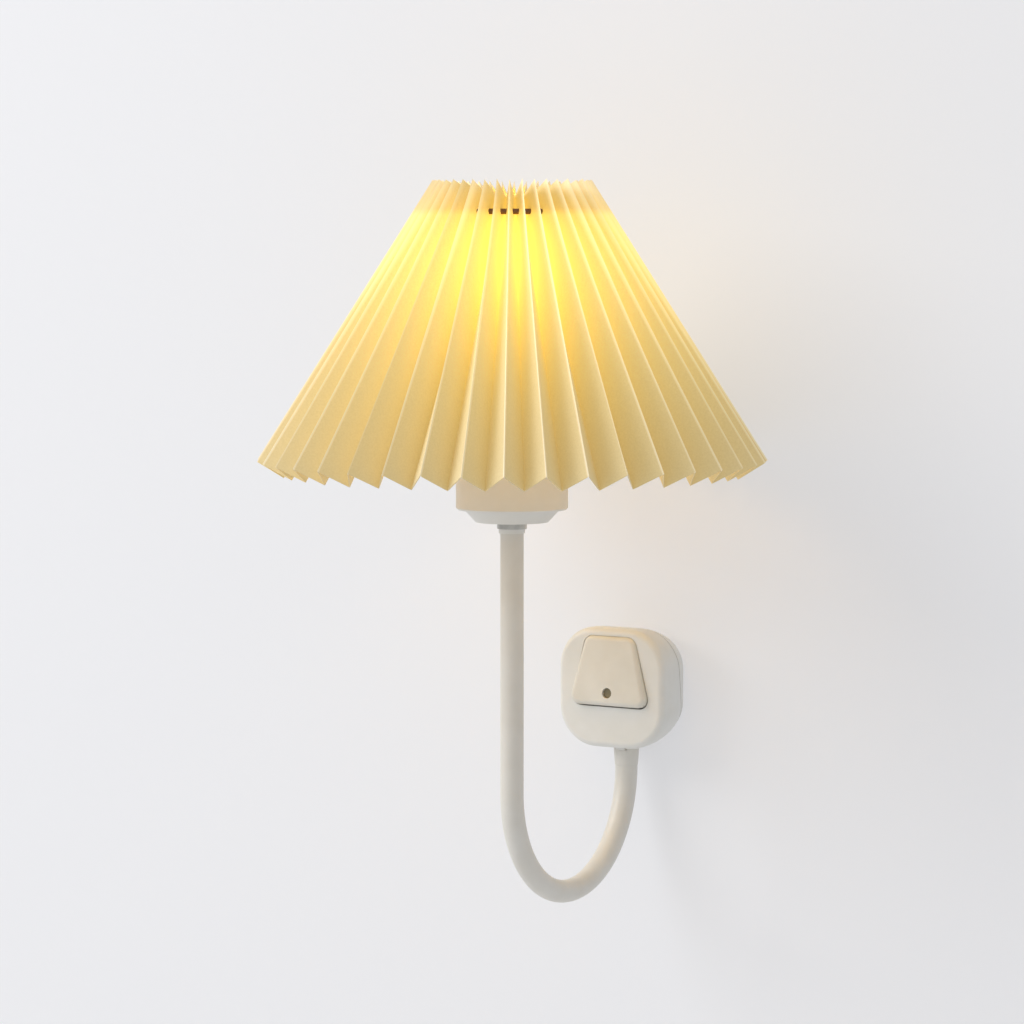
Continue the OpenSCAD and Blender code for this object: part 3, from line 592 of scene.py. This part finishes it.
def plug_form(name):
    """The plug in one piece, from its front face to its flat back at y 0."""
    start = PLUG_FRONT + PLUG_ROLL + STRAIGHT_RIM
    form = rounded_block(name, -PLUG_HALF_H, PLUG_HALF_H, PLUG_HALF_W, PLUG_HALF_W, PLUG_FRONT, start,
                         PLUG_CORNER, PLUG_ROLL)
    pick(form, "FACE", lambda centre, normal: normal.y > FACING_BACK)
    full = Vector((PLUG_HALF_W, 0, PLUG_HALF_H))
    size = full
    for step in range(1, FLANK_STEPS + 1):
        drawn = full - Vector((1, 0, 1)) * PLUG_TAPER * (step / FLANK_STEPS) ** 2
        pulled = (0, -start / FLANK_STEPS * MM, 0)
        bpy.ops.mesh.extrude_region_move(TRANSFORM_OT_translate={"value": pulled})
        bpy.ops.transform.resize(value=(drawn.x / size.x, 1, drawn.z / size.z), center_override=(0, 0, 0))
        size = drawn
    pick(form, "EDGE", lambda a, b: min(a.y, b.y) > -HAIR * MM)
    bpy.ops.mesh.bevel(offset=BACK_EDGE * MM, segments=BACK_EDGE_SEGMENTS, affect="EDGES")
    bpy.ops.object.mode_set(mode="OBJECT")
    return form


print("plug, mm deep:", -PLUG_FRONT)

# %% [markdown]
# ## The seam
# The plug is moulded in two halves, which meet at a seam that leans a little. Both halves could be
# drawn on their own, but then they might not meet. Here the same form is cut twice by the same leaning
# plane, a third of a millimetre apart, and each half gets a wall.

# %% Helper: one half of the plug
PLUG_WALL = 2
SEAM_Y = -7.5
SEAM_GAP = 0.35
SEAM_LEAN = math.radians(12)
seam_normal = Vector((0, math.cos(SEAM_LEAN), math.sin(SEAM_LEAN)))


def split(form, seam_y, keep_front):
    """Cut the form at the leaning seam and give the half that stays a wall."""
    pick(form, "FACE", lambda centre, normal: True)
    bpy.ops.mesh.bisect(plane_co=(0, seam_y * MM, 0), plane_no=seam_normal,
                        clear_outer=keep_front, clear_inner=not keep_front)
    bpy.ops.object.mode_set(mode="OBJECT")
    modify(form, "SOLIDIFY", thickness=PLUG_WALL * MM, offset=-1, use_even_offset=True)


print("seam leans, degrees:", round(math.degrees(SEAM_LEAN)))

# %% [markdown]
# ## Painted shade in the seam
# On a pale plug the parting line reads as a thin grey-brown line of shade, even where it is seen almost
# edge-on, and here that line is painted shade. A dark strip could be laid into the gap, but a finish
# that darkens by its distance from the plane of the seam follows the line all the way round.

# %% Darken the plug's finish along the seam
SEAM_SHADE_CORE = 0.25 * MM
SEAM_SHADE_REACH = 0.5 * MM
SEAM_SHADE_SHARE = 0.5

seam_offset = seam_normal.dot(Vector((0, SEAM_Y + SEAM_GAP / 2, 0)) * MM)
tree = plug_abs.node_tree
shader = [node for node in tree.nodes if node.type == "BSDF_PRINCIPLED"][0]
place = add(tree, "TexCoord").outputs["Object"]
along = add(tree, "VectorMath", {0: place, 1: seam_normal}, operation="DOT_PRODUCT").outputs["Value"]
from_plane = add(tree, "Math", {0: along, 1: seam_offset}, operation="SUBTRACT").outputs[0]
off_seam = add(tree, "Math", {0: from_plane}, operation="ABSOLUTE").outputs[0]
seam_shade = add(tree, "MapRange", {"Value": off_seam, "From Min": SEAM_SHADE_CORE, "From Max": SEAM_SHADE_REACH,
                              "To Min": SEAM_SHADE_SHARE, "To Max": 0.0}).outputs[0]
unshaded_tint = shader.inputs["Base Color"].links[0].from_socket
# Painted shade: the tint turns grey-brown near the plane of the seam.
seam_shaded_tint = add(tree, "Mix", {0: seam_shade, 6: unshaded_tint, 7: linear("#867B69")}, data_type="RGBA").outputs[2]
tree.links.new(seam_shaded_tint, shader.inputs["Base Color"])
print("dust line, mm wide:", round(2 * SEAM_SHADE_REACH / MM, 2))

# %% [markdown]
# ## Cutting tools
# Holes, slots and pockets could be drawn into the faces. It is simpler to cut them with bars and blocks
# that are thrown away afterwards. These start outside the piece, because two faces in one plane make a
# ragged cut.

# %% Helpers: a round bar and a block to cut with
def stick(radius, start, end, sides=32):
    """A round bar between two points, to cut a hole with."""
    run = Vector(end) - Vector(start)
    deselect()
    bpy.ops.mesh.primitive_cylinder_add(vertices=sides, radius=radius * MM, depth=run.length * MM,
                                        location=(Vector(start) + Vector(end)) / 2 * MM,
                                        rotation=run.to_track_quat("Z", "Y").to_euler())
    return newest("stick")


def brick(low, high):
    """A plain block between two corners, to cut with."""
    low, high = Vector(low), Vector(high)
    deselect()
    bpy.ops.mesh.primitive_cube_add(size=1, location=(low + high) / 2 * MM, scale=(high - low) * MM)
    return newest("brick")


print("cutting tools: a round bar and a block")

# %% [markdown]
# ## The front housing
# The front half of the plug has a window for the paddle and a round outlet for the neck underneath. The
# window is the paddle's own outline, wider by an even gap. On its leaning sides that gap is measured
# square to the side, so the half widths grow by a little more at the low edge than at the high one.

# %% Model the front housing
PADDLE = {"low": -8.5, "high": 24, "half_low": 21, "half_high": 13}
PADDLE_CORNER = 4.5
PADDLE_GAP = 0.35
WINDOW_FRONT = -40
WINDOW_BACK = -20
OUTLET_Y = -12.5
OUTLET_R = 6
OUTLET_BELOW = -35
OUTLET_INSIDE = -20
SHELL_EDGE = 0.3

housing = plug_form("housing_shell")
split(housing, SEAM_Y, keep_front=True)
lean = math.atan((PADDLE["half_low"] - PADDLE["half_high"]) / (PADDLE["high"] - PADDLE["low"]))
window = rounded_block("window", PADDLE["low"] - PADDLE_GAP, PADDLE["high"] + PADDLE_GAP,
                       PADDLE["half_low"] + PADDLE_GAP * (1 / math.cos(lean) + math.tan(lean)),
                       PADDLE["half_high"] + PADDLE_GAP * (1 / math.cos(lean) - math.tan(lean)),
                       WINDOW_FRONT, WINDOW_BACK, PADDLE_CORNER + PADDLE_GAP, 0)
cut(housing, window)
cut(housing, stick(OUTLET_R, (0, OUTLET_Y, OUTLET_BELOW), (0, OUTLET_Y, OUTLET_INSIDE)))
soften(housing, SHELL_EDGE)
housing.data.materials.append(plug_abs)
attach(housing, "plug")
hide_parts("front_housing")
print("housing faces:", len(housing.data.polygons))

# %% [markdown]
# ## The rear cover
# The cover closes the housing from behind: a shallow tray whose rim meets the leaning seam. Its flat
# back has two slots for the blades and two countersunk screw holes, and its top has a thumb notch that
# opens into the seam, where the halves are prised apart.

# %% Model the rear cover
BLADE_X = 6.35
BLADE_SLOT_HALF_W = 0.85
BLADE_SLOT_HALF_H = 3.25
BLADE_SLOT_BACK = 10
SCREW_X = 15.5
SCREW_Z = -15
SCREW_HOLE_R = 1.35
SCREW_HEAD_R = 2.8
SCREW_SEAT_Y = -1.5
INSIDE_Y = -10
BEHIND_Y = 5
NOTCH_HALF_W = 4
NOTCH_FRONT = -14
NOTCH_BACK = -8
NOTCH_FLOOR = 25.3
ABOVE_Z = 30

cover = plug_form("cover_shell")
split(cover, SEAM_Y + SEAM_GAP, keep_front=False)
for x in (-BLADE_X, BLADE_X):
    cut(cover, brick((x - BLADE_SLOT_HALF_W, INSIDE_Y, -BLADE_SLOT_HALF_H),
                     (x + BLADE_SLOT_HALF_W, BLADE_SLOT_BACK, BLADE_SLOT_HALF_H)))
for x in (-SCREW_X, SCREW_X):
    cut(cover, stick(SCREW_HOLE_R, (x, INSIDE_Y, SCREW_Z), (x, BEHIND_Y, SCREW_Z)))
    cut(cover, stick(SCREW_HEAD_R, (x, SCREW_SEAT_Y, SCREW_Z), (x, BEHIND_Y, SCREW_Z)))
cut(cover, brick((-NOTCH_HALF_W, NOTCH_FRONT, NOTCH_FLOOR), (NOTCH_HALF_W, NOTCH_BACK, ABOVE_Z)))
soften(cover, SHELL_EDGE)
cover.data.materials.append(plug_abs)
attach(cover, "plug")
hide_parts("rear_cover")
print("cover faces:", len(cover.data.polygons))

# %% [markdown]
# ## The switch paddle
# The paddle rocks on a pin near its top edge. It stands a little proud, narrower at the top, with soft
# rolled edges and one round hole for the indicator. It is easiest to model square to the plug, as if it
# were pressed in, and is then leaned out about the pin to where its spring holds it.

# %% Model the paddle
PIN = Vector((0, -23, 20.5)) * MM
PADDLE_LEAN = math.radians(-4)
PADDLE_FRONT = -29.6
PADDLE_BACK = -24
PADDLE_ROLL = 2.4
PADDLE_WALL = 1.6
PADDLE_EDGE = 0.2
LENS_R = 2.4
LENS_Z = -2.5

paddle = rounded_block("paddle_shell", front=PADDLE_FRONT, back=PADDLE_BACK, corner=PADDLE_CORNER,
                       roll=PADDLE_ROLL, **PADDLE)
pick(paddle, "FACE", lambda centre, normal: normal.y > FACING_BACK)
bpy.ops.mesh.delete(type="FACE")
modify(paddle, "SOLIDIFY", thickness=PADDLE_WALL * MM, offset=-1, use_even_offset=True)
cut(paddle, stick(LENS_R, (0, WINDOW_FRONT, LENS_Z), (0, WINDOW_BACK, LENS_Z)))
soften(paddle, PADDLE_EDGE)
to_pin = Matrix.Translation(PIN)
paddle.matrix_world = to_pin @ Matrix.Rotation(PADDLE_LEAN, 4, "X") @ to_pin.inverted()
take(paddle)
bpy.ops.object.transform_apply(location=True, rotation=True, scale=True)
paddle.data.materials.append(paddle_abs)
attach(paddle, "paddle")
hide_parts("switch_paddle")
print("paddle faces:", len(paddle.data.polygons))

# %% [markdown]
# ## The boot
# A short boot of the sleeve's soft PVC holds the neck under the plug. A small nickel latch lies in a
# pocket in its front, with a narrow slot at each end. A cone is the start. Its lower edge is rolled in
# towards the sleeve, and the two bores, the pocket and the slots are cut out of it.

# %% Model the boot
BOOT_TOP = -28.15
BOOT_LOW = -37.5
BOOT_TOP_R = 6.1
BOOT_LOW_R = 5.42
BOOT_ROLL = 0.12
BOOT_ROLL_SEGMENTS = 4
BOOT_SHOULDER = 0.8
BOOT_EDGE = 0.08
BOOT_SIDES = 64
PAST_END = 1
SLEEVE_R = 5.2
SLEEVE_FIT = 0.05
CORE_R = 4.65
CORE_FIT = 0.1

deselect()
bpy.ops.mesh.primitive_cone_add(vertices=BOOT_SIDES, radius1=BOOT_LOW_R * MM, radius2=BOOT_TOP_R * MM,
                                depth=(BOOT_TOP - BOOT_LOW) * MM,
                                location=(0, OUTLET_Y * MM, (BOOT_TOP + BOOT_LOW) / 2 * MM))
boot = newest("boot_shell")
pick(boot, "EDGE", lambda a, b: max(a.z, b.z) < (BOOT_LOW + HAIR) * MM)
bpy.ops.mesh.bevel(offset=BOOT_ROLL * MM, segments=BOOT_ROLL_SEGMENTS, affect="EDGES")
bpy.ops.object.mode_set(mode="OBJECT")
cut(boot, stick(SLEEVE_R + SLEEVE_FIT, (0, OUTLET_Y, BOOT_LOW - PAST_END),
                (0, OUTLET_Y, BOOT_TOP - BOOT_SHOULDER), BOOT_SIDES))
cut(boot, stick(CORE_R + CORE_FIT, (0, OUTLET_Y, BOOT_LOW),
                (0, OUTLET_Y, BOOT_TOP + PAST_END), BOOT_SIDES))
print("boot faces before its pocket:", len(boot.data.polygons))

# %% [markdown]
# ## The boot's pocket
# The latch lies in a shallow pocket, with a deeper slot at each end. They could be inset into the boot's
# faces, but these are narrow strips. Three blocks that come in from the front cut them square.

# %% Cut the pocket and its slots
POCKET = {"half_w": 3.15, "low": -30.15, "high": -28.55, "floor": -18.1}
POCKET_FRONT = -20
SLOT_W = 0.8
SLOT_FLOOR = -16.5

cut(boot, brick((-POCKET["half_w"], POCKET_FRONT, POCKET["low"]),
                (POCKET["half_w"], POCKET["floor"], POCKET["high"])))
for side in (-1, 1):
    ends = sorted((side * POCKET["half_w"], side * (POCKET["half_w"] - SLOT_W)))
    cut(boot, brick((ends[0], POCKET_FRONT, POCKET["low"]), (ends[1], SLOT_FLOOR, POCKET["high"])))
soften(boot, BOOT_EDGE)
boot.data.materials.append(white_pvc)
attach(boot, "neck_base")
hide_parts("neck_boot")
print("boot faces:", len(boot.data.polygons))

# %% [markdown]
# ## The neck's line
# The neck's core is a row of ball-jointed links. Its axis leaves the plug downwards, goes half round a
# bend and rises to the holder. A curve object could carry a round profile along it, but the neck has to
# be parted at the links, so points of the axis are worked out here by their angle round the bend or
# their height.

# %% The axis and the middles of the links
BEND_Y = -63.5
BEND_Z = -38
BEND_R = 51
LINK_ANGLES = (12, 60, 108, 156)
LINK_HEIGHTS = (-18, 22, 62)


def on_bend(angle):
    """A point of the neck's axis, at an angle round the bend."""
    turn = math.radians(angle)
    return Vector((0, BEND_Y + BEND_R * math.cos(turn), BEND_Z - BEND_R * math.sin(turn)))


link_middles = [on_bend(angle) for angle in LINK_ANGLES]
link_middles += [Vector((0, BEND_Y - BEND_R, height)) for height in LINK_HEIGHTS]
print("links of the core:", len(link_middles))

# %% [markdown]
# ## Pulling and spinning
# Along the straights of the neck a ring of points is pulled, and round the bend it is spun. One long step
# would give the shape at rest, but short ones let a tube bend smoothly at other poses.

# %% Helpers: pull a ring, or spin it round the bend
PULL_STEP = 2
SPIN_STEP = 2


def pull(run):
    """Extrude what is selected upwards, or downwards where the run is negative."""
    pulls = max(1, round(abs(run) / PULL_STEP))
    for _ in range(pulls):
        bpy.ops.mesh.extrude_region_move(TRANSFORM_OT_translate={"value": (0, 0, run / pulls * MM)})


def spin_round(first, last):
    """Spin what is selected round the bend, from one angle to another."""
    steps = max(2, round((last - first) / SPIN_STEP))
    bpy.ops.mesh.spin(steps=steps, center=Vector((0, BEND_Y, BEND_Z)) * MM,
                      angle=math.radians(last - first), axis=(1, 0, 0))


print("steps along the neck, mm and degrees:", PULL_STEP, SPIN_STEP)

# %% [markdown]
# ## A tube along the neck
# A tube starts as a ring, square to the neck's axis, and takes in any straight and any part of the bend.
# Its wall is added last, inwards, so that the outside keeps its size. A solid bar is made in the same
# way from a filled ring.

# %% Helper: a tube along the neck
def tube(name, radius, wall, sides, start, angles, end):
    """A tube from height start down to the bend, round it between two angles, and up to height end.

    Where start or end is None, the tube starts or ends on the bend. Where wall is None, it is solid."""
    first, last = angles
    ring = on_bend(first)
    if start is not None:
        ring.z = start
    deselect()
    bpy.ops.mesh.primitive_circle_add(vertices=sides, radius=radius * MM, location=ring * MM,
                                      rotation=(-math.radians(first), 0, 0))
    piece = newest(name)
    bpy.ops.object.mode_set(mode="EDIT")
    bpy.ops.mesh.select_mode(type="VERT")
    bpy.ops.mesh.select_all(action="SELECT")
    if wall is None:
        bpy.ops.mesh.edge_face_add()
    if first == 0:
        pull(BEND_Z - start)
    if last > first:
        spin_round(first, last)
    if end is not None:
        pull(end - (BEND_Z if last > first else start))
    bpy.ops.mesh.select_all(action="SELECT")
    bpy.ops.mesh.normals_make_consistent(inside=False)
    bpy.ops.object.mode_set(mode="OBJECT")
    if wall is not None:
        modify(piece, "SOLIDIFY", thickness=wall * MM, offset=-1)
    smooth(piece)
    return piece


print("length of the bend, mm:", round(math.pi * BEND_R))

# %% [markdown]
# ## The neck: sleeve and flex
# A soft sleeve runs over the links, and a round flex through them. Both bend where the links turn, so
# each is made in six stretches, one across each joint, that meet at the links' middles.

# %% Model the sleeve and the flex
SLEEVE_WALL = 0.45
SLEEVE_SIDES = 40
SLEEVE_START = -29.05
SLEEVE_END = 78.5
FLEX_R = 1.7
FLEX_SIDES = 16
FLEX_START = -6
FLEX_END = 97


def stretches(start, end):
    """For each stretch: where it starts, the angles of the bend that it takes in, and where it ends."""
    low, middle, high = LINK_ANGLES[1:]
    riser_low, riser_high = LINK_HEIGHTS[:2]
    round_bend = [(start, (0, low), None), (None, (low, middle), None), (None, (middle, high), None)]
    onto_riser = (None, (high, 180), riser_low)
    up_riser = [(riser_low, (180, 180), riser_high), (riser_high, (180, 180), end)]
    return round_bend + [onto_riser] + up_riser


sleeve_runs = stretches(SLEEVE_START, SLEEVE_END)
flex_runs = stretches(FLEX_START, FLEX_END)
for i in range(len(sleeve_runs)):
    sleeve = tube(f"sleeve_{i + 1}", SLEEVE_R, SLEEVE_WALL, SLEEVE_SIDES, *sleeve_runs[i])
    flex = tube(f"flex_{i + 1}", FLEX_R, None, FLEX_SIDES, *flex_runs[i])
    for piece, node, finish, slot in ((sleeve, "neck_sleeve", white_pvc, "sleeve_pvc"),
                                      (flex, "inner_flex", white_nylon, "flex_pvc")):
        piece.data.materials.append(finish)
        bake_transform(piece)
        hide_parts(node)
print("neck stretches:", len(sleeve_runs))

# %% [markdown]
# ## The shade's folds
# One strip of cloth is folded to and fro eighty times. Folding keeps every panel as wide at the top as
# at the hem, so the folds stand deeper where the cone is narrow. A cloth simulation would soften such
# sharp pressed folds, so geometry makes them. A cone with eighty sides is the start, and every second
# fold line is drawn in and down, square to the slope, by the depth that keeps the panels' width. Small
# seeded shifts of the folds keep it from looking drawn with a ruler.

# %% Fold the shade
PANEL_W = 14.8
FOLD_MIDDLE = 0.8
FOLD_SHIFT = 0.35
FOLD_SEED = 7
PANEL_CUTS = 11
half_pitch = math.pi / PLEATS

deselect()
bpy.ops.mesh.primitive_cone_add(vertices=2 * PLEATS, radius1=HEM_R * MM, radius2=TOP_R * MM,
                                depth=(TOP_Z - HEM_Z) * MM, end_fill_type="NOTHING",
                                location=(0, LAMP_Y, (TOP_Z + HEM_Z) / 2 * MM),
                                rotation=(0, 0, math.radians(SHADE_TURN)))
shade = newest("pleated_shade")


def is_valley(point):
    """True on every second fold line."""
    turn = math.atan2(point.x, -(point.y - LAMP_Y)) - math.radians(SHADE_TURN)
    return round(turn / half_pitch) % 2 == 1


for radius, level in ((HEM_R, HEM_Z), (TOP_R, TOP_Z)):
    half = (radius - PANEL_W * math.cos(slope) * FOLD_MIDDLE) * math.sin(half_pitch)
    depth = math.sqrt(PANEL_W ** 2 - half ** 2)
    pick(shade, "VERT", lambda p: abs(p.z - level * MM) < MM and is_valley(p))
    drawn = 1 - depth * math.cos(slope) / radius
    bpy.ops.transform.resize(value=(drawn, drawn, 1), center_override=(0, LAMP_Y, 0))
    bpy.ops.transform.translate(value=(0, 0, -depth * math.sin(slope) * MM))
    print("fold depth at radius", radius, "is, mm:", round(depth, 1))
bpy.ops.mesh.select_all(action="SELECT")
bpy.ops.transform.vertex_random(offset=FOLD_SHIFT * MM, seed=FOLD_SEED)
bpy.ops.mesh.subdivide(number_cuts=PANEL_CUTS)
bpy.ops.object.mode_set(mode="OBJECT")

# %% [markdown]
# ## The shade on its ring
# The cloth gets its thickness, and the inner folds are slit where the wire ring of the frame passes
# through them. A thin torus along the ring cuts all the slits at once, a hair wider than the wire.

# %% Thicken the cloth and slit its folds
SHEET_T = 0.4
RING_R = 32.5
SLIT_R = 1.4
CREASE_ANGLE = 20

modify(shade, "SOLIDIFY", thickness=SHEET_T * MM, offset=-1, use_even_offset=False)
deselect()
bpy.ops.mesh.primitive_torus_add(location=(0, LAMP_Y, RING_Z), major_radius=RING_R * MM,
                                 minor_radius=SLIT_R * MM, major_segments=160, minor_segments=16)
cut(shade, newest("ring_slits"))
smooth(shade, CREASE_ANGLE)
shade.data.materials.append(pleated_cloth)
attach(shade, "head")
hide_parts("shade_pleats")
print("shade faces:", len(shade.data.polygons))

# %% [markdown]
# ## The room's paint
# The light hangs on a pale wall. To look pale the wall could be lit more, but that would bleach the plug,
# so it glows a little, only for what looks at it or mirrors it. Seen from behind it lets the view through.

# %% Finish: wall and floor paint
WALL_LIFT = 0.44

# Wall: matt emulsion, an even near white with no shine.
wall_paint, tree, shader, _ = new_finish("matt wall paint", Base_Color=linear("#B4B4B5"), Roughness=0.9,
                                         Emission_Color=linear("#F4F4F7"))
ray = add(tree, "LightPath").outputs
mirrored = add(tree, "Math", {0: ray["Is Glossy Ray"], 1: ray["Is Transmission Ray"]},
               operation="MAXIMUM").outputs[0]
seen = add(tree, "Math", {0: ray["Is Camera Ray"], 1: mirrored}, operation="MAXIMUM").outputs[0]
lift = add(tree, "Math", {0: seen, 1: WALL_LIFT}, operation="MULTIPLY").outputs[0]
tree.links.new(lift, shader.inputs["Emission Strength"])
back = add(tree, "NewGeometry").outputs["Backfacing"]
clear = add(tree, "BsdfTransparent").outputs[0]
front_only = add(tree, "MixShader", {0: back, 1: shader.outputs[0], 2: clear})
output = [node for node in tree.nodes if node.type == "OUTPUT_MATERIAL"][0]
tree.links.new(front_only.outputs[0], output.inputs["Surface"])
# Floor: the same kind of paint, paler.
floor_paint, _, _, _ = new_finish("pale floor", Base_Color=linear("#EDEDED"), Roughness=0.8)
print("glow of the wall:", WALL_LIFT)

# %% [markdown]
# ## The room
# A plain wall is the backdrop, with a pale floor far below. A closed room would do as well, but two sheets
# leave the sky open to light the part from all sides. The wall casts no shadow on the plug's back.

# %% Wall and floor
# The room's size and the floor's place are in metres.
ROOM_SIZE = 6
FLOOR_PLACE = (0, -2.6, -0.6)
WALL_BEHIND = 0.4 * MM


def room_sheet(name, location, rotation, finish):
    """A flat sheet of the room, which is no part of the light."""
    deselect()
    bpy.ops.mesh.primitive_plane_add(size=ROOM_SIZE, location=location, rotation=rotation)
    sheet = newest(name)
    sheet.data.materials.append(finish)
    return sheet


wall = room_sheet("wall", (0, WALL_BEHIND, 0), (math.pi / 2, 0, 0), wall_paint)
wall.visible_shadow = False
wall.visible_diffuse = False
floor = room_sheet("floor", FLOOR_PLACE, (0, 0, 0), floor_paint)
print("room sheets:", wall.name, floor.name)

# %% [markdown]
# ## Light
# The room is bright and its shadows are soft. Many small lamps could do that. One large square lamp at
# the upper left gives the soft direction, and an even sky fills in the rest.

# %% Lamp, sky and view
# The lamp's place, aim and size are in metres, and its power is in watts.
KEY_PLACE = Vector((-1.5, -1.3, 1.3))
KEY_AIM = Vector((0, -0.1, 0.05))
KEY_SIZE = 1.6
KEY_POWER = 30
SKY_FILL = 0.62

key = bpy.data.lights.new("key", "AREA")
key.size = KEY_SIZE
key.energy = KEY_POWER
lamp = bpy.data.objects.new("key", key)
bpy.context.scene.collection.objects.link(lamp)
lamp.location = KEY_PLACE
lamp.rotation_euler = (KEY_AIM - KEY_PLACE).to_track_quat("-Z", "Y").to_euler()
sky = bpy.data.worlds.new("sky")
bpy.context.scene.world = sky
sky.use_nodes = True
background = sky.node_tree.nodes["Background"]
background.inputs["Color"].default_value = linear("#F4F6FA")
background.inputs["Strength"].default_value = SKY_FILL
bpy.context.scene.view_settings.view_transform = "Standard"
print("lamp, W:", KEY_POWER, "sky:", SKY_FILL)
